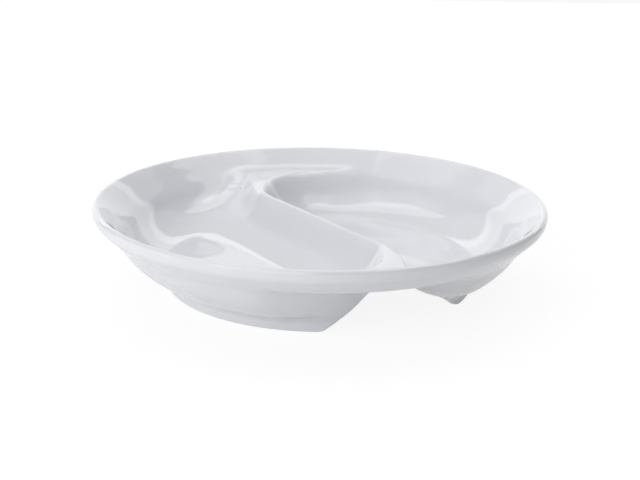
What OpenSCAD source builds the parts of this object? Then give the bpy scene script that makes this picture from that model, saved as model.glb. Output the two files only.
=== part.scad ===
// Divided serving bowl: a round glazed dish with two wells, parted by a hollow S-shaped divider.
// The origin is the centre of the base, +Z is up, and the divider runs along Y.
// The dish looks the same after half a turn about Z, so everything is worked out for the left half.

/* [Rim] */
// Outer diameter over the lip
dish_diameter = 250; // [246:0.5:254]
// Height from the table to the top of the lip
dish_height = 46.5; // [46:0.5:48]
// Slope of the flared rim, in degrees from level
flare_slope = 45; // [43:1:47]
// Thickness of the flared rim
rim_thickness = 5.9; // [5.6:0.1:6.2]
// Radius of the lip's upper edge
lip_round = 2; // [1.6:0.1:2.4]
// Radius of the lip's lower edge
lip_under_round = 1.5; // [1:0.1:1.8]

/* [Wells] */
// Radius of the wells' outer wall, level with the crest of the divider
well_radius = 111.5; // [110:0.5:113]
// Height of the flat floors above the table
floor_height = 12.5; // [12:0.25:13.5]
// Thickness of the walls
wall = 5; // [4.5:0.1:5.2]
// Slope of the walls where they are steepest, in degrees from level
wall_slope = 57; // [54:1:59]
// Radius of the cove between wall and floor
cove_radius = 34; // [30:1:38]
// Radius of the same bend on the outside
outer_cove_radius = 44; // [40:1:48]
// Radius of the corner that the divider bends towards, seen from above, level with the crest
wide_corner = 60; // [50:1:62]
// Radius of the corner that the divider bends away from
tight_corner = 22; // [16:1:26]
// Radius of that corner on the outside
outer_tight_corner = 44; // [36:1:50]

/* [Divider] */
// How far the crest of the divider lies below the lip
crest_drop = 10.6; // [10:0.2:11.4]
// Half the width of the crest, where its two sloping faces would meet the top
crest_half_width = 1.2; // [1:0.1:1.6]
// Thickness of the divider at its crest
crest_wall = 4.6; // [4:0.1:5]
// Half the length of the straight middle of the divider
straight_half = 52; // [48:1:54]
// Radius of the two arcs that turn the divider's ends into an S
bend_radius = 65; // [62:1:72]

/* [Foot rings] */
// Height of the foot rings
foot_height = 7.5; // [6.5:0.25:8]
// Outer diameter of the circle that both foot rings stand on
foot_diameter = 169; // [166:1:172]
// How much wider that circle is at the top of the foot rings
foot_flare = 3; // [2:0.5:4]
// How far each foot ring's circle lies off the middle, towards the tight corner of its well
foot_shift = 0.8; // [0:0.2:1.6]
// Width of each foot ring at the table
foot_width = 5; // [4:0.5:6]
// Width of the channel under the divider at the table
channel_width = 77; // [75:1:80]
// Slope of the channel's sides next to the table, in degrees from level
channel_slope = 38; // [35:1:42]
// Radius of the corners inside the foot rings
foot_corner_radius = 4; // [3:0.5:6]

/* [Smoothness] */
// Lines of facets across each well, from the divider to the rim
line_count = 42; // [30:2:44]
// Facets along each of these lines
line_steps = 22; // [18:2:24]

/* [Hidden] */
glaze_white = "#eeeff0";
biscuit_white = "#dedad2";

// Levels and places that follow from the driving dimensions
lip_radius = dish_diameter/2;
crest_height = dish_height - crest_drop;
rim_join_inset = 7;
join_radius = lip_radius - rim_join_inset;
end_arc_middle = [bend_radius, straight_half];

// The bend at the foot of the outer wall would end this far below the top of the foot ring
hidden_drop = 2;

foot_top_radius = (foot_diameter + foot_flare)/2;
foot_middle = [-foot_shift, foot_shift];
channel_top = channel_width/2 - foot_height/tan(channel_slope);

// The flanks above the foot rings: their corner radius seen from above, and how far out they flatten
flank_corner_radius = 3;
flank_reach = 50;

// How softly neighbouring surfaces run together, as a height
crest_blend = 2.5;
web_blend = 5;
step_blend = 4;
flank_blend = 2;

// How softly the crest and the channel turn over, as a distance across the divider
crest_round = 1;
channel_round = 3;

function smooth_min(a, b, blend) =
    let (overlap = max(blend - abs(a - b), 0)) min(a, b) - overlap*overlap/(4*blend);
function smooth_max(a, b, blend) = -smooth_min(-a, -b, blend);

// Distance inwards from two edges that meet in a corner of the given radius
function rounded_edge(a, b, radius) =
    a < radius && b < radius ? radius - norm([radius - a, radius - b]) : min(a, b);

// Signed distance of a point from the S-shaped crest line, positive on the right
function crest_distance(p) =
    let (side = sign(p.y), from_arc = p - side*end_arc_middle)
    abs(p.y) <= straight_half ? p.x :
    side*from_arc.x > 0 ? side*(bend_radius + norm(from_arc) - 2*abs(from_arc.y)) :
    side*(bend_radius - norm(from_arc));

// Distance inwards from the D-shaped edge of a well, with its tight corner and its turn over the
// crest of the given radii
function well_edge(p, tight, crest_turn) =
    let (from_crest = crest_distance(p), corner = p.y*from_crest > 0 ? wide_corner : tight)
    rounded_edge(well_radius - norm(p), norm([from_crest, crest_turn]) - crest_half_width, corner);

// Height of the flared rim's upper face at a radius
function flare_height(r) =
    dish_height - lip_round + lip_round/cos(flare_slope) + (r - lip_radius + lip_round)*tan(flare_slope);

// Height of a wall that starts at the top and runs through a cove into a level floor
function wall_height(edge, top, floor, cove) =
    let (cove_end = (top - floor)/tan(wall_slope) + cove*tan(wall_slope/2))
    edge < cove_end - cove*sin(wall_slope) ? top - edge*tan(wall_slope) :
    floor + cove - sqrt(pow(cove, 2) - pow(max(cove_end - edge, 0), 2));

// Inner face: the wells, with the divider's crest and the flared rim on top
function inside_height(p) =
    let (top = smooth_max(crest_height, flare_height(norm(p)), web_blend))
    let (edge = well_edge(p, tight_corner, crest_round))
    let (well = wall_height(edge, crest_height, floor_height, cove_radius))
    smooth_min(well, top, crest_blend);

// Height of the flanks that lead the foot rings up into the wells and the channel's sides
function flank_height(p) =
    let (from_crest = crest_distance(p), from_foot_middle = p + sign(from_crest)*foot_middle)
    let (foot_edge = rounded_edge(foot_top_radius - norm(from_foot_middle),
        abs(from_crest) - channel_top, flank_corner_radius))
    foot_height - foot_edge*tan(channel_slope) + pow(min(foot_edge, 0), 2)/flank_reach;

// Outer face: the wells from below, with the channel and the rim's underside between and around
// them, cut level at the top of the foot rings
function underside_height(p) =
    let (rim_under = flare_height(norm(p)) - rim_thickness/cos(flare_slope))
    let (ceiling = smooth_max(crest_height - crest_wall, rim_under, web_blend))
    let (well = wall_height(well_edge(p, outer_tight_corner, channel_round),
        crest_height - wall/cos(wall_slope), foot_height - hidden_drop, outer_cove_radius))
    let (body = smooth_min(smooth_min(well, ceiling, step_blend), flank_height(p), flank_blend))
    max(body, foot_height);

// A point of the crest line at a distance along it from the middle
function crest_point(along) =
    let (side = sign(along), turn = (abs(along) - straight_half)/bend_radius*180/PI)
    abs(along) <= straight_half ? [0, along] :
    side*(end_arc_middle + bend_radius*[-cos(turn), sin(turn)]);

// The turn at which the end arc reaches the join with the rim, and the crest line's half length
end_turn = asin((pow(join_radius, 2) - pow(norm(end_arc_middle), 2) - pow(bend_radius, 2))
    /(2*bend_radius*norm(end_arc_middle))) + atan2(bend_radius, straight_half);
crest_half_length = straight_half + bend_radius*end_turn*PI/180;
crest_end = crest_point(crest_half_length);
crest_end_angle = atan2(crest_end.y, crest_end.x);

// Both ends of each line across the left well, from front to back. The lines lie closest together
// at the corners, where the rim and the divider meet.
crowding = 0.07;
shares = [for (i = [0:line_count]) let (share = i/line_count) share - crowding*sin(360*share)];
crest_line = [for (share = shares) crest_point(crest_half_length*(2*share - 1))];
join_line = [for (share = shares)
    let (a = crest_end_angle + 180*(1 - share)) join_radius*[cos(a), sin(a)]];

// Distances along a line from its two ends, closest together at the crest and at the rim.
// A short line near a corner has the same steps on a smaller scale.
crest_reach = 40;
join_reach = 47;
floor_gap = 8;
half_steps = line_steps/2;
function line_share(step, length) =
    let (scale = min(1, length/(crest_reach + floor_gap + join_reach)))
    step < half_steps ? scale*crest_reach*pow(step/(half_steps - 1), 1.4)/length :
    1 - scale*join_reach*pow((line_steps - step)/half_steps, 1.2)/length;
inner_points = [for (i = [1:line_count - 1]) for (step = [1:line_steps - 1])
    let (way = join_line[i] - crest_line[i]) crest_line[i] + line_share(step, norm(way))*way];

function half_turn(points) = [for (p = points) -p];
inner_joins = [for (i = [1:line_count - 1]) join_line[i]];
plan = concat(crest_line, inner_joins, half_turn(inner_joins), inner_points, half_turn(inner_points));

// The number in the plan of a step along a line, of the left well or, turned round, of the right
function plan_number(right, i, step) =
    let (inner_lines = line_count - 1, inner_steps = line_steps - 1)
    i == 0 || i == line_count || step == 0 ? (right ? line_count - i : i) :
    step == line_steps ? line_count + (right ? inner_lines : 0) + i :
    line_count + 2*inner_lines + (right ? inner_lines*inner_steps : 0) + (i - 1)*inner_steps + step;

// Triangles of the whole plan, clockwise from above
plan_faces = [for (right = [false, true]) for (i = [0:line_count - 1]) for (step = [0:line_steps - 1])
    let (a = plan_number(right, i, step), b = plan_number(right, i, step + 1))
    let (c = plan_number(right, i + 1, step + 1), d = plan_number(right, i + 1, step))
    each a == b ? [[a, c, d]] : c == d ? [[a, b, c]] :
        norm(plan[a] - plan[c]) < norm(plan[b] - plan[d]) ? [[a, b, c], [a, c, d]] : [[a, b, d], [b, c, d]]];

// The numbers round the join with the rim, anticlockwise from the divider's back end
join_columns = [for (right = [false, true]) for (i = [line_count:-1:1]) plan_number(right, i, line_steps)];
column_count = len(join_columns);

// The lip in section, from the flare's upper face round to its underside
lip_section = let (band = lip_radius - lip_round, under_band = lip_radius - lip_under_round)
    let (under_middle = flare_height(under_band) - (rim_thickness - lip_under_round)/cos(flare_slope))
    concat(
        [for (a = [90 + flare_slope, 90 + flare_slope/2, 90, 60, 30, 0])
            [band + lip_round*cos(a), dish_height - lip_round + lip_round*sin(a)]],
        [for (a = [0:-15:-flare_slope]) [under_band, under_middle] + lip_under_round*[cos(a), sin(a)]]);

// Faces between two rings of point numbers, seen from outside the solid
function band(low, high) = [for (i = [0:len(low) - 1]) let (next = (i + 1) % len(low))
    each [[low[i], low[next], high[next]], [low[i], high[next], high[i]]]];

module shell_solid() {
    under_first = len(plan);
    lip_first = 2*len(plan);
    points = concat(
        [for (p = plan) [p.x, p.y, inside_height(p)]],
        [for (p = plan) [p.x, p.y, underside_height(p)]],
        [for (point = lip_section) for (column = join_columns)
            let (p = plan[column]/norm(plan[column])) [point.x*p.x, point.x*p.y, point.y]]);
    rings = concat([join_columns],
        [for (k = [0:len(lip_section) - 1]) [for (i = [0:column_count - 1]) lip_first + k*column_count + i]],
        [[for (column = join_columns) under_first + column]]);
    polyhedron(points, concat(
        plan_faces,
        [for (face = plan_faces) [for (i = [2, 1, 0]) under_first + face[i]]],
        [for (k = [0:len(rings) - 2]) each band(rings[k], rings[k + 1])]), convexity = 8);
}

// Where two circles cross, on the left of the way from the first one's middle to the second's
function crossing(middle, radius, other_middle, other_radius) =
    let (way = other_middle - middle, apart = norm(way))
    let (along = (pow(apart, 2) + pow(radius, 2) - pow(other_radius, 2))/(2*apart))
    middle + (along*way + sqrt(pow(radius, 2) - pow(along, 2))*[-way.y, way.x])/apart;

function direction(way) = way/norm(way);

// Cuts the tip off a corner and rounds it, towards two outward directions
module round_tip(middle, first, second) {
    reach = 3*foot_corner_radius;
    difference() {
        children();
        translate(middle)
        polygon([[0, 0], reach*first, reach*(first + second), reach*second]);
    }
    translate(middle) circle(foot_corner_radius);
}

// The bounds of everything that lies on the left of the channel
foot_margin = 5;
foot_reach = foot_top_radius + foot_margin;

// Plan of the hollow inside the left foot ring: a circle, cut along the channel
module foot_hollow_plan() {
    radius = foot_diameter/2 - foot_width;
    side = channel_width/2 + foot_width;
    front = crossing(foot_middle, radius - foot_corner_radius,
        -end_arc_middle, bend_radius - side - foot_corner_radius);
    back = crossing(foot_middle, radius - foot_corner_radius,
        end_arc_middle, bend_radius + side + foot_corner_radius);
    round_tip(front, direction(front - foot_middle), direction(front + end_arc_middle))
    round_tip(back, direction(back - foot_middle), direction(end_arc_middle - back))
    intersection() {
        translate(foot_middle) circle(radius);
        union() {
            translate([-foot_reach, -straight_half]) square([foot_reach - side, 2*straight_half]);
            translate([-foot_reach, -foot_reach]) square([foot_reach - bend_radius, foot_reach - straight_half]);
            translate(-end_arc_middle) circle(bend_radius - side);
            difference() {
                translate([-foot_reach, straight_half]) square([foot_reach, foot_reach - straight_half]);
                translate(end_arc_middle) circle(bend_radius + side);
            }
        }
    }
}

// Left foot ring: a flared disc, cut away by the sloping side of the S-shaped channel
module foot_solid() {
    bottom = channel_width/2;
    difference() {
        intersection() {
            translate(foot_middle) cylinder(foot_height, foot_diameter/2, foot_top_radius);
            union() {
                translate([0, straight_half, 0]) rotate([90, 0, 0]) linear_extrude(2*straight_half)
                polygon([[-foot_reach, 0], [-bottom, 0], [-channel_top, foot_height], [-foot_reach, foot_height]]);
                translate([-foot_reach, -foot_reach, 0])
                cube([foot_reach - bend_radius, foot_reach - straight_half, foot_height]);
                translate(-end_arc_middle)
                cylinder(foot_height, bend_radius - bottom, bend_radius - channel_top);
                difference() {
                    translate([-foot_reach, straight_half, 0])
                    cube([foot_reach, foot_reach - straight_half, foot_height]);
                    translate(end_arc_middle)
                    cylinder(foot_height, bend_radius + bottom, bend_radius + channel_top);
                }
            }
        }
        linear_extrude(foot_height) foot_hollow_plan();
    }
}

// Glazed body: flared rim, two wells and the hollow divider between them
module bowl_shell() {
    color(glaze_white) shell_solid();
}

// Foot ring under the left well
module left_foot_ring() {
    color(biscuit_white) foot_solid();
}

// Foot ring under the right well
module right_foot_ring() {
    color(biscuit_white) rotate([0, 0, 180]) foot_solid();
}

bowl_shell();
left_foot_ring();
right_foot_ring();
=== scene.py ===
import bpy, math
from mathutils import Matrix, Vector


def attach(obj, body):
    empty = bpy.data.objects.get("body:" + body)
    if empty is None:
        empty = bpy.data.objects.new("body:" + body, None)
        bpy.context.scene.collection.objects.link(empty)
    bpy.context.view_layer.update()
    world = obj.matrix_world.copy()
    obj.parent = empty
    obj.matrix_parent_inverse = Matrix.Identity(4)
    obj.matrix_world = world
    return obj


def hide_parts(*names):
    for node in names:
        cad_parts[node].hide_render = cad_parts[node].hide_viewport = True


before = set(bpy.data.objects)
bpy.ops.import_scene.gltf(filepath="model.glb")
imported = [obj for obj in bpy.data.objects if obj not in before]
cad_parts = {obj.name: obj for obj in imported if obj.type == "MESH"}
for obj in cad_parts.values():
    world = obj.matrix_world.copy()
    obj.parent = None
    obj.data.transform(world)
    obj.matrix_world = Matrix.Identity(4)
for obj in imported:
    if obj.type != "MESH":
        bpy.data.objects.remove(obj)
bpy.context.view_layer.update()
mm = 0.001


def deselectAll():
    if bpy.context.mode != 'OBJECT':
        bpy.ops.object.mode_set(mode='OBJECT')
    bpy.ops.object.select_all(action='DESELECT')


def linearColor(hexColor):
    parts = [int(hexColor[i:i + 2], 16) / 255 for i in (1, 3, 5)]
    return tuple(c / 12.92 if c <= 0.04045 else ((c + 0.055) / 1.055) ** 2.4 for c in parts) + (1,)


def addNode(tree, kind, settings=None, links=None):
    # settings: socket name or number, or node property, to a value; links: socket to another node's output
    node = tree.nodes.new(kind)
    for key, value in (settings or {}).items():
        if isinstance(key, int) or key in node.inputs:
            node.inputs[key].default_value = value
        else:
            setattr(node, key, value)
    for key, output in (links or {}).items():
        tree.links.new(output, node.inputs[key])
    return node


def newMaterial(name, settings):
    material = bpy.data.materials.new(name)
    material.use_nodes = True
    shader = material.node_tree.nodes["Principled BSDF"]
    for key, value in settings.items():
        shader.inputs[key].default_value = value
    return material, material.node_tree, shader


# The photograph's own view, from the left of the divider's front end
camera = {
    "place": (-382.79 * mm, -554.89 * mm, 235.1 * mm),
    "turn": (72.483, -0.912, -34.335),   # degrees
    "lens": 70.75,   # millimetres
    "clipStart": 10 * mm,
}
deselectAll()
bpy.ops.object.camera_add(location=camera["place"], rotation=[math.radians(a) for a in camera["turn"]])
viewer = bpy.context.object
viewer.name = "camera"
viewer.data.lens = camera["lens"]
viewer.data.clip_start = camera["clipStart"]
bpy.context.scene.camera = viewer
print("camera placed")


# Glazed porcelain: white clay body under a clear fired glaze, poured and dipped.
# To the eye: a wet, hard gloss with sharp reflections, and a faint cool grey in the shade.
glaze = {   # lengths in millimetres
    "color": "#ebecf1", "thin": "#e8e9ee", "gathered": "#eeeff4", "cloudSize": 60, "cloudDetail": 2.0,
    "roughness": 0.03, "ior": 1.52, "coatWeight": 0.35, "coatRoughness": 0.03,
    "waveLength": 30, "waveDetail": 1.0, "waveRoughness": 0.4, "waveStrength": 0.06, "waveHeight": 1.5,
}
glazedPorcelain, tree, shader = newMaterial("glazedPorcelain", {
    "Base Color": linearColor(glaze["color"]), "Roughness": glaze["roughness"], "IOR": glaze["ior"],
    "Coat Weight": glaze["coatWeight"], "Coat Roughness": glaze["coatRoughness"],
})
place = addNode(tree, "ShaderNodeTexCoord")
# The glaze lies in slow waves, and pulls the reflections a little out of true
waves = addNode(tree, "ShaderNodeTexNoise",
                {"Scale": 1 / (glaze["waveLength"] * mm), "Detail": glaze["waveDetail"],
                 "Roughness": glaze["waveRoughness"]}, {"Vector": place.outputs["Object"]})
waveBump = addNode(tree, "ShaderNodeBump",
                   {"Strength": glaze["waveStrength"], "Distance": glaze["waveHeight"] * mm},
                   {"Height": waves.outputs["Fac"]})
tree.links.new(waveBump.outputs["Normal"], shader.inputs["Normal"])
# It lies thinner in some places than in others: a shade of grey either way, in slow clouds
cloud = addNode(tree, "ShaderNodeTexNoise",
                {"Scale": 1 / (glaze["cloudSize"] * mm), "Detail": glaze["cloudDetail"]},
                {"Vector": place.outputs["Object"]})
tone = addNode(tree, "ShaderNodeMix", {"data_type": 'RGBA'}, {"Factor": cloud.outputs["Fac"]})
tone.inputs["A"].default_value = linearColor(glaze["thin"])
tone.inputs["B"].default_value = linearColor(glaze["gathered"])
tree.links.new(tone.outputs["Result"], shader.inputs["Base Color"])

# Biscuit: the same clay fired bare, wiped clean of glaze so that the foot doesn't stick to the kiln shelf.
# To the eye: chalky, a little warmer and darker, with a fine sandy grain.
biscuit = {   # lengths in millimetres; real grains are about 0.4, drawn larger to show in the render
    "color": "#dedad2", "roughness": 0.85,
    "grainSize": 1.2, "grainDetail": 3.0, "grainStrength": 0.25, "grainHeight": 0.2,
}
bareBiscuit, tree, shader = newMaterial("bareBiscuit", {
    "Base Color": linearColor(biscuit["color"]), "Roughness": biscuit["roughness"],
})
place = addNode(tree, "ShaderNodeTexCoord")
grain = addNode(tree, "ShaderNodeTexNoise",
                {"Scale": 1 / (biscuit["grainSize"] * mm), "Detail": biscuit["grainDetail"]},
                {"Vector": place.outputs["Object"]})
grainBump = addNode(tree, "ShaderNodeBump",
                    {"Strength": biscuit["grainStrength"], "Distance": biscuit["grainHeight"] * mm},
                    {"Height": grain.outputs["Fac"]})
tree.links.new(grainBump.outputs["Normal"], shader.inputs["Normal"])
print("materials made")


# Both faces of the shell and its lip, from the named values of part.scad. The lip's lower edge, the tight
# corner inside and the crest, flare and web blends have values of their own here, to match the photograph.
dish = {   # millimetres and degrees
    "lipRadius": 125, "height": 46.5, "flareSlope": 45, "rimThickness": 5.9,
    "lipRound": 2, "lipUnderRound": 6, "rimJoinInset": 7,
    "wellRadius": 111.5, "floorHeight": 12.5, "wall": 5, "wallSlope": 57, "coveRadius": 34,
    "outerCoveRadius": 44, "wideCorner": 60, "tightCorner": 20, "cornerGrowth": 0.6,
    "outerTightCorner": 44, "hiddenDrop": 2,
    "crestDrop": 10.6, "crestHalfWidth": 1.2, "crestWall": 4.6, "straightHalf": 52, "bendRadius": 65,
    "crestRound": 1, "channelRound": 3, "flankCorner": 3, "flankReach": 50,
    "crestBlend": 1.8, "flareBlend": 6, "flareBlendReach": 30, "webBlend": 4, "stepBlend": 4, "flankBlend": 2,
}
mesh = {   # counts of steps, and lengths in millimetres
    "lines": 150, "steps": 84, "lipSteps": 12, "crowding": 0.07,
    "crestReach": 40, "crestPower": 1.4, "floorGap": 8, "joinReach": 47, "joinPower": 1.2,
    "crestSpan": 1.3, "halvings": 40,
    "shortest": 1e-6, "mergeDistance": 0.004, "thinnest": 0.002, "cutTolerance": 0.001, "levelTolerance": 0.01,
    "smoothAngle": 35,   # degrees
}
foot = {   # millimetres, degrees and steps
    "height": 7.5, "radius": 84.5, "topRadius": 86, "shift": 0.8, "width": 5,
    "channelWidth": 77, "channelSlope": 38, "innerCorner": 4, "outerCorner": 2.5, "innerLevel": 4,
    "edgeRound": 1.3, "innerEdgeRound": 0.8, "edgeSteps": 6, "glazeLine": 0.35,
    # the glaze pooled where the ring meets the wall
    "filletDrop": 3.5, "filletReach": 5, "filletSteps": 8, "filletRoot": 1, "sink": 0.4,
    "circleSteps": 110, "cornerSteps": 8, "bendSteps": 24, "straightSteps": 30,
}
footMiddle = (-foot["shift"], foot["shift"])
tanChannel = math.tan(math.radians(foot["channelSlope"]))
channelTop = foot["channelWidth"] / 2 - foot["height"] / tanChannel
tanWall = math.tan(math.radians(dish["wallSlope"]))
cosWall = math.cos(math.radians(dish["wallSlope"]))
sinWall = math.sin(math.radians(dish["wallSlope"]))
tanHalfWall = math.tan(math.radians(dish["wallSlope"] / 2))
tanFlare = math.tan(math.radians(dish["flareSlope"]))
cosFlare = math.cos(math.radians(dish["flareSlope"]))
crestHeight = dish["height"] - dish["crestDrop"]
joinRadius = dish["lipRadius"] - dish["rimJoinInset"]


def smoothMin(a, b, blend):
    return min(a, b) - max(blend - abs(a - b), 0) ** 2 / (4 * blend)


def smoothMax(a, b, blend):
    return -smoothMin(-a, -b, blend)


def roundedEdge(a, b, radius):
    # distance inwards from two edges that meet in a rounded corner
    if a < radius and b < radius:
        return radius - math.hypot(radius - a, radius - b)
    return min(a, b)


def crestDistance(x, y):
    # signed distance from the S-shaped crest line, positive on the right
    if abs(y) <= dish["straightHalf"]:
        return x
    side = 1 if y > 0 else -1
    bend = dish["bendRadius"]
    dx, dy = x - side * bend, y - side * dish["straightHalf"]
    if side * dx > 0:
        return side * (bend + math.hypot(dx, dy) - 2 * abs(dy))
    return side * (bend - math.hypot(dx, dy))


def wellSides(x, y, blend):
    # distances inwards from the rim and from the divider, and whether they meet in the wide corner
    fromCrest = crestDistance(x, y)
    fromRim = dish["wellRadius"] - math.hypot(x, y)
    return fromRim, math.hypot(fromCrest, blend) - dish["crestHalfWidth"], y * fromCrest > 0


def insideEdge(x, y):
    fromRim, fromDivider, wide = wellSides(x, y, dish["crestRound"])
    if wide:
        return roundedEdge(fromRim, fromDivider, dish["wideCorner"])
    # the tight corner is crisp at the top and opens out towards the floor
    corner = dish["tightCorner"] + dish["cornerGrowth"] * (fromRim + fromDivider) / 2
    return smoothMin(fromRim, fromDivider, corner)


def undersideEdge(x, y):
    fromRim, fromDivider, wide = wellSides(x, y, dish["channelRound"])
    return roundedEdge(fromRim, fromDivider, dish["wideCorner"] if wide else dish["outerTightCorner"])


def flareHeight(r):
    return dish["height"] - dish["lipRound"] + dish["lipRound"] / cosFlare \
        + (r - dish["lipRadius"] + dish["lipRound"]) * tanFlare


def wallHeight(edge, top, floor, cove):
    coveEnd = (top - floor) / tanWall + cove * tanHalfWall
    if edge < coveEnd - cove * sinWall:
        return top - edge * tanWall
    return floor + cove - math.sqrt(cove ** 2 - max(coveEnd - edge, 0) ** 2)


def insideHeight(x, y):
    top = smoothMax(crestHeight, flareHeight(math.hypot(x, y)), dish["webBlend"])
    well = wallHeight(insideEdge(x, y), crestHeight, dish["floorHeight"], dish["coveRadius"])
    # crisp along the crest, soft where the wall turns into the flare
    share = min(abs(crestDistance(x, y)) / dish["flareBlendReach"], 1) ** 2
    return smoothMin(well, top, dish["crestBlend"] + (dish["flareBlend"] - dish["crestBlend"]) * share)


def flankHeight(x, y):
    # the flanks that lead the foot rings up into the wells and the channel's sides
    fromCrest = crestDistance(x, y)
    side = 1 if fromCrest > 0 else -1
    fromFootMiddle = math.hypot(x + side * footMiddle[0], y + side * footMiddle[1])
    edge = roundedEdge(foot["topRadius"] - fromFootMiddle, abs(fromCrest) - channelTop, dish["flankCorner"])
    return foot["height"] - edge * tanChannel + min(edge, 0) ** 2 / dish["flankReach"]


def undersideHeight(x, y):
    # Known fault: in the tight corners this rises above insideHeight, by up to 0.6 mm
    rimUnder = flareHeight(math.hypot(x, y)) - dish["rimThickness"] / cosFlare
    ceiling = smoothMax(crestHeight - dish["crestWall"], rimUnder, dish["webBlend"])
    lowest = foot["height"] - dish["hiddenDrop"]   # what lies below the foot's top is cut off later
    well = wallHeight(undersideEdge(x, y), crestHeight - dish["wall"] / cosWall, lowest,
                      dish["outerCoveRadius"])
    body = smoothMin(smoothMin(well, ceiling, dish["stepBlend"]), flankHeight(x, y), dish["flankBlend"])
    return max(body, lowest)


def crestPoint(along):
    # a point of the crest line at a distance along it from the middle, positive to the back
    if abs(along) <= dish["straightHalf"]:
        return 0.0, along
    side = 1 if along > 0 else -1
    turn = (abs(along) - dish["straightHalf"]) / dish["bendRadius"]
    return (side * dish["bendRadius"] * (1 - math.cos(turn)),
            side * (dish["straightHalf"] + dish["bendRadius"] * math.sin(turn)))


def crestHalfLength():
    # how far along it the crest line reaches the join with the rim, by halving a span that holds the answer
    low, high = dish["straightHalf"], joinRadius * mesh["crestSpan"]
    for _ in range(mesh["halvings"]):
        middle = (low + high) / 2
        low, high = (middle, high) if math.hypot(*crestPoint(middle)) < joinRadius else (low, middle)
    return low


def lipSection():
    # radius and height round the lip, from the flare's upper face to its underside
    steps, lipRound, underRound = mesh["lipSteps"], dish["lipRound"], dish["lipUnderRound"]
    band, underBand = dish["lipRadius"] - lipRound, dish["lipRadius"] - underRound
    middle = dish["height"] - lipRound
    underMiddle = flareHeight(underBand) - (dish["rimThickness"] - underRound) / cosFlare
    upper = [math.radians((90 + dish["flareSlope"]) * (1 - i / steps)) for i in range(steps + 1)]
    lower = [math.radians(-dish["flareSlope"] * i / steps) for i in range(steps + 1)]
    return [(band + lipRound * math.cos(a), middle + lipRound * math.sin(a)) for a in upper] + \
        [(underBand + underRound * math.cos(a), underMiddle + underRound * math.sin(a)) for a in lower]


def lineShare(step, length):
    # steps lie closest together at the crest and at the rim
    half = mesh["steps"] / 2
    scale = min(1, length / (mesh["crestReach"] + mesh["floorGap"] + mesh["joinReach"]))
    if step < half:
        return scale * mesh["crestReach"] * (step / (half - 1)) ** mesh["crestPower"] / length
    return 1 - scale * mesh["joinReach"] * ((mesh["steps"] - step) / half) ** mesh["joinPower"] / length


def halfDishPoints():
    # one sheet for the left half: crest to rim inside, over the lip, and back to the crest below
    halfLength = crestHalfLength()
    endX, endY = crestPoint(halfLength)
    endAngle = math.atan2(endY, endX)
    section, points = lipSection(), []
    for i in range(mesh["lines"] + 1):
        share = i / mesh["lines"]
        share -= mesh["crowding"] * math.sin(2 * math.pi * share)
        ax, ay = crestPoint(halfLength * (2 * share - 1))
        angle = endAngle + math.pi * (1 - share)
        bx, by = joinRadius * math.cos(angle), joinRadius * math.sin(angle)
        length = math.hypot(bx - ax, by - ay)
        shares = [lineShare(s, length) if length > mesh["shortest"] else 1 for s in range(mesh["steps"])] + [1]
        plan = [(ax + s * (bx - ax), ay + s * (by - ay)) for s in shares]
        column = [(x, y, insideHeight(x, y)) for x, y in plan]
        column += [(r * math.cos(angle), r * math.sin(angle), z) for r, z in section]
        column += [(x, y, undersideHeight(x, y)) for x, y in reversed(plan)]
        points.append(column)
    return points


def layGrid(name, columns):
    # a grid of quads whose points are then set out, column by column
    rows = len(columns[0])
    deselectAll()
    bpy.ops.mesh.primitive_grid_add(x_subdivisions=len(columns) - 1, y_subdivisions=rows - 1, size=1)
    piece = bpy.context.object
    piece.name = name
    for index, vertex in enumerate(piece.data.vertices):   # they run along x first, then up y
        vertex.co = Vector(columns[index % len(columns)][index // len(columns)]) * mm
    return piece


def halfTurnCopy(piece):
    # the other half, or the other ring: the same mesh after half a turn
    deselectAll()
    piece.select_set(True)
    bpy.context.view_layer.objects.active = piece
    bpy.ops.object.duplicate()
    copy = bpy.context.object
    for vertex in copy.data.vertices:
        vertex.co.x, vertex.co.y = -vertex.co.x, -vertex.co.y
    return copy


def closeSurface():
    # merges the seams of what is selected in edit mode, and points its faces outwards
    bpy.ops.object.mode_set(mode='EDIT')
    bpy.ops.mesh.select_all(action='SELECT')
    bpy.ops.mesh.remove_doubles(threshold=mesh["mergeDistance"] * mm)
    bpy.ops.mesh.dissolve_degenerate(threshold=mesh["thinnest"] * mm)
    bpy.ops.mesh.select_all(action='SELECT')
    bpy.ops.mesh.normals_make_consistent(inside=False)


glazedDish = layGrid("glazedDish", halfDishPoints())
otherHalf = halfTurnCopy(glazedDish)
deselectAll()
otherHalf.select_set(True)
glazedDish.select_set(True)
bpy.context.view_layer.objects.active = glazedDish
bpy.ops.object.join()
closeSurface()
# The underside is cut level where the foot rings carry on
bpy.ops.mesh.select_all(action='SELECT')
bpy.ops.mesh.bisect(plane_co=(0, 0, foot["height"] * mm), plane_no=(0, 0, 1), use_fill=True, clear_inner=True,
                    threshold=mesh["cutTolerance"] * mm)
bpy.ops.object.mode_set(mode='OBJECT')
bpy.ops.object.shade_smooth()
for face in glazedDish.data.polygons:
    level = max(abs(glazedDish.data.vertices[v].co.z - foot["height"] * mm) for v in face.vertices)
    face.select = level < mesh["levelTolerance"] * mm
bpy.ops.object.mode_set(mode='EDIT')
bpy.ops.mesh.select_mode(type='FACE')
bpy.ops.mesh.region_to_loop()
bpy.ops.mesh.mark_sharp()
bpy.ops.object.mode_set(mode='OBJECT')
glazedDish.data.materials.clear()
glazedDish.data.materials.append(glazedPorcelain)
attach(glazedDish, "root")
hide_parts("bowl_shell")
print("dish made:", len(glazedDish.data.polygons), "faces")


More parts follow.
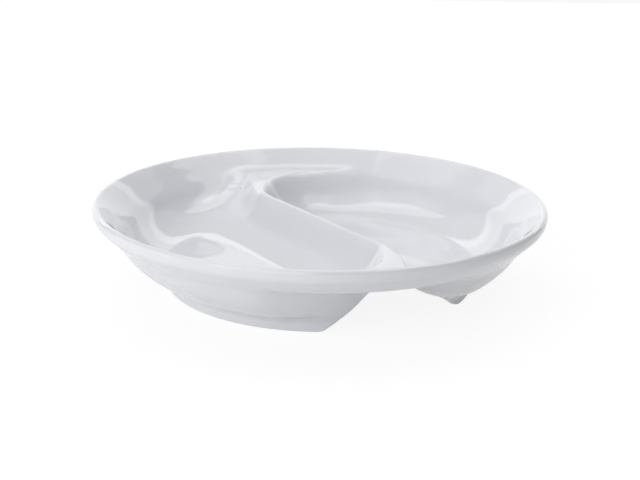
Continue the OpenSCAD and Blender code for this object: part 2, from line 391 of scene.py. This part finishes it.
# Foot rings: glazed like the dish, and bare only where they stand on the table
def crossing(middle, radius, otherMiddle, otherRadius):
    # where two circles cross, on the left of the way from the first one's middle to the second's
    wayX, wayY = otherMiddle[0] - middle[0], otherMiddle[1] - middle[1]
    apart = math.hypot(wayX, wayY)
    along = (apart ** 2 + radius ** 2 - otherRadius ** 2) / (2 * apart)
    aside = math.sqrt(radius ** 2 - along ** 2)
    return (middle[0] + (along * wayX - aside * wayY) / apart,
            middle[1] + (along * wayY + aside * wayX) / apart)


def angleFrom(middle, point):
    return math.atan2(point[1] - middle[1], point[0] - middle[0])


def arc(middle, radius, first, last, count):
    # points of an arc without its last one
    return [(middle[0] + radius * math.cos(first + (last - first) * i / count),
             middle[1] + radius * math.sin(first + (last - first) * i / count)) for i in range(count)]


def footOutline(radius, side, corner):
    # the left ring's outline: round the left, front corner, along the channel, back corner
    bend, half, turn = dish["bendRadius"], dish["straightHalf"], 2 * math.pi
    frontMiddle, backMiddle = (-bend, -half), (bend, half)
    front = crossing(footMiddle, radius - corner, frontMiddle, bend - side - corner)
    back = crossing(footMiddle, radius - corner, backMiddle, bend + side + corner)
    atBack, atFront = angleFrom(footMiddle, back) % turn, angleFrom(footMiddle, front) % turn
    onFrontArc, onBackArc = angleFrom(frontMiddle, front) % turn, angleFrom(backMiddle, back) % turn
    outline = arc(footMiddle, radius, atBack, atFront, foot["circleSteps"])
    outline += arc(front, corner, atFront, onFrontArc, foot["cornerSteps"])
    outline += arc(frontMiddle, bend - side, onFrontArc, turn, foot["bendSteps"])
    outline += [(-side, half * (2 * i / foot["straightSteps"] - 1)) for i in range(foot["straightSteps"])]
    outline += arc(backMiddle, bend + side, math.pi, onBackArc, foot["bendSteps"])
    outline += arc(back, corner, onBackArc - math.pi, atBack, foot["cornerSteps"])
    return outline


def footSections():
    # height, circle radius, distance from the crest line and corner radius, from the top round the bottom
    def outer(z, inset=0):
        return (z, foot["radius"] + (foot["topRadius"] - foot["radius"]) * z / foot["height"] - inset,
                foot["channelWidth"] / 2 - z / tanChannel + inset, foot["outerCorner"])
    def inner(z, inset=0):
        return (z, foot["radius"] - foot["width"] + inset, foot["channelWidth"] / 2 + foot["width"] - inset,
                foot["innerCorner"])
    def quarter(radius):
        # height and inset of the points of a rounded edge, from its upper end to the table
        turns = [math.pi / 2 * i / foot["edgeSteps"] for i in range(foot["edgeSteps"] + 1)]
        return [(radius * (1 - math.sin(t)), radius * (1 - math.cos(t))) for t in turns]
    sections = [outer(foot["height"]), outer(foot["height"] - foot["filletDrop"])]
    sections += [outer(z, inset) for z, inset in quarter(foot["edgeRound"])]
    sections += [inner(z, inset) for z, inset in reversed(quarter(foot["innerEdgeRound"]))]
    return sections + [inner(foot["innerLevel"]), inner(foot["height"])]


def outwardWay(outline, i):
    # the level direction that points out of the outline at one of its points
    (ax, ay), (bx, by) = outline[i - 1], outline[(i + 1) % len(outline)]
    long = math.hypot(bx - ax, by - ay)
    return (by - ay) / long, (ax - bx) / long


def filletColumn(top, below, way):
    # from inside the shell, out to its underside, and in a curve down to the ring's side
    reach, root = foot["filletReach"], foot["filletRoot"]
    farX, farY = top[0] + reach * way[0], top[1] + reach * way[1]
    far = (farX, farY, undersideHeight(farX, farY) + foot["sink"])
    crease = (top[0], top[1], foot["height"])
    column = [(top[0] - root * way[0], top[1] - root * way[1], foot["height"] + root), far]
    for step in range(1, foot["filletSteps"]):
        s = step / foot["filletSteps"]
        weights = ((1 - s) ** 2, 2 * s * (1 - s), s ** 2)
        column.append(tuple(sum(w * p[k] for w, p in zip(weights, (far, crease, below))) for k in range(3)))
    return column


columns = []
sections = footSections()
outlines = [footOutline(*section[1:]) for section in sections]
for i in range(len(outlines[0]) + 1):
    j = i % len(outlines[0])
    ringSide = [(*outline[j], section[0]) for outline, section in zip(outlines, sections)]
    column = filletColumn(ringSide[0], ringSide[1], outwardWay(outlines[0], j)) + ringSide[1:]
    columns.append(column + column[:1])
leftFootRing = layGrid("leftFootRing", columns)
closeSurface()
bpy.ops.object.mode_set(mode='OBJECT')
bpy.ops.object.shade_smooth_by_angle(angle=math.radians(mesh["smoothAngle"]))
leftFootRing.data.materials.clear()
leftFootRing.data.materials.append(glazedPorcelain)
leftFootRing.data.materials.append(bareBiscuit)
for face in leftFootRing.data.polygons:
    if max(leftFootRing.data.vertices[v].co.z for v in face.vertices) < foot["glazeLine"] * mm:
        face.material_index = 1
rightFootRing = halfTurnCopy(leftFootRing)
rightFootRing.name = "rightFootRing"
for ring, node in ((leftFootRing, "left_foot_ring"), (rightFootRing, "right_foot_ring")):
    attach(ring, "root")
    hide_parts(node)
print("foot rings made:", len(leftFootRing.data.polygons), "faces each")


# Floor, lights and backdrop
studio = {   # lengths in metres
    "floorSize": 6.0, "floorLevel": -0.0002, "floorColor": "#f4f4f4", "floorRoughness": 0.9,
    "glowStrength": 1.05, "floorGlow": 0.85, "mirroredGlow": 0.5, "worldStrength": 0.18,
    "lampDistance": 1.3, "aim": (0, 0, 0.02),
}
deselectAll()
bpy.ops.mesh.primitive_plane_add(size=studio["floorSize"], location=(0, 0, studio["floorLevel"]))
floor = bpy.context.object
floor.name = "floor"
paperFloor, tree, shader = newMaterial("paperFloor", {
    "Base Color": linearColor(studio["floorColor"]), "Roughness": studio["floorRoughness"],
})
# The camera sees the paper overexposed, as in the photograph, with only a trace of the shadow.
# Mirrored in the glaze it is about as bright as the lit paper, also where the dish shades it.
ray = addNode(tree, "ShaderNodeLightPath")
mirrored = addNode(tree, "ShaderNodeMath", {"operation": 'MAXIMUM'},
                   {0: ray.outputs["Is Glossy Ray"], 1: ray.outputs["Is Transmission Ray"]})
inGlaze = addNode(tree, "ShaderNodeMath", {"operation": 'MULTIPLY', 1: studio["mirroredGlow"]},
                  {0: mirrored.outputs["Value"]})
inView = addNode(tree, "ShaderNodeMath", {"operation": 'MULTIPLY', 1: studio["floorGlow"]},
                 {0: ray.outputs["Is Camera Ray"]})
share = addNode(tree, "ShaderNodeMath", {"operation": 'MAXIMUM'},
                {0: inGlaze.outputs["Value"], 1: inView.outputs["Value"]})
glow = addNode(tree, "ShaderNodeEmission", {"Strength": studio["glowStrength"]})
blend = addNode(tree, "ShaderNodeMixShader", None,
                {0: share.outputs["Value"], 1: shader.outputs["BSDF"], 2: glow.outputs["Emission"]})
tree.links.new(blend.outputs["Shader"], tree.nodes["Material Output"].inputs["Surface"])
floor.data.materials.append(paperFloor)

world = bpy.data.worlds.new("studio")
bpy.context.scene.world = world
world.use_nodes = True
tree = world.node_tree
background = tree.nodes["Background"]
background.inputs["Color"].default_value = (1, 1, 1, 1)
# White behind the floor's far edge for the camera, and a faint fill light for everything else
ray = addNode(tree, "ShaderNodeLightPath")
strength = addNode(tree, "ShaderNodeMath", {"operation": 'MAXIMUM', 1: studio["worldStrength"]},
                   {0: ray.outputs["Is Camera Ray"]})
tree.links.new(strength.outputs["Value"], background.inputs["Strength"])


def softBox(name, place, size, power):
    deselectAll()
    bpy.ops.object.light_add(type='AREA', location=place)
    lamp = bpy.context.object
    lamp.name = name
    lamp.data.shape = 'RECTANGLE'
    lamp.data.size, lamp.data.size_y = size
    lamp.data.energy = power
    lamp.rotation_euler = (Vector(studio["aim"]) - Vector(place)).to_track_quat('-Z', 'Y').to_euler()
    lamp.visible_camera = False


cameraTurn = math.radians(camera["turn"][2])
panels = {   # elevation and direction in degrees, 0 to the camera's right and 90 away from it; metres; watts
    "key": (30, 240, (1.0, 0.7), 5.0),
    "keyLeft": (15, 212, (1.0, 0.6), 2.1),
    "lowLeft": (8, 180, (1.0, 0.35), 1.5),
    "lowFront": (3, 255, (1.6, 0.3), 1.5),
    "back": (15, 90, (2.6, 0.7), 5.54),
    "backHigh": (38, 90, (2.2, 0.6), 1.8),
    "top": (66, 90, (1.3, 0.6), 3.51),
    "over": (88, 90, (1.0, 1.0), 2.04),
    "topRight": (62, 10, (0.8, 0.6), 1.64),
    "topLeft": (62, 170, (0.8, 0.6), 1.01),
}
for name, (rise, turn, size, power) in panels.items():
    turn, rise = math.radians(turn) + cameraTurn, math.radians(rise)
    way = Vector((math.cos(turn) * math.cos(rise), math.sin(turn) * math.cos(rise), math.sin(rise)))
    softBox(name, studio["lampDistance"] * way, size, power)

scene = bpy.context.scene
scene.view_settings.view_transform = 'Standard'
print("studio set")
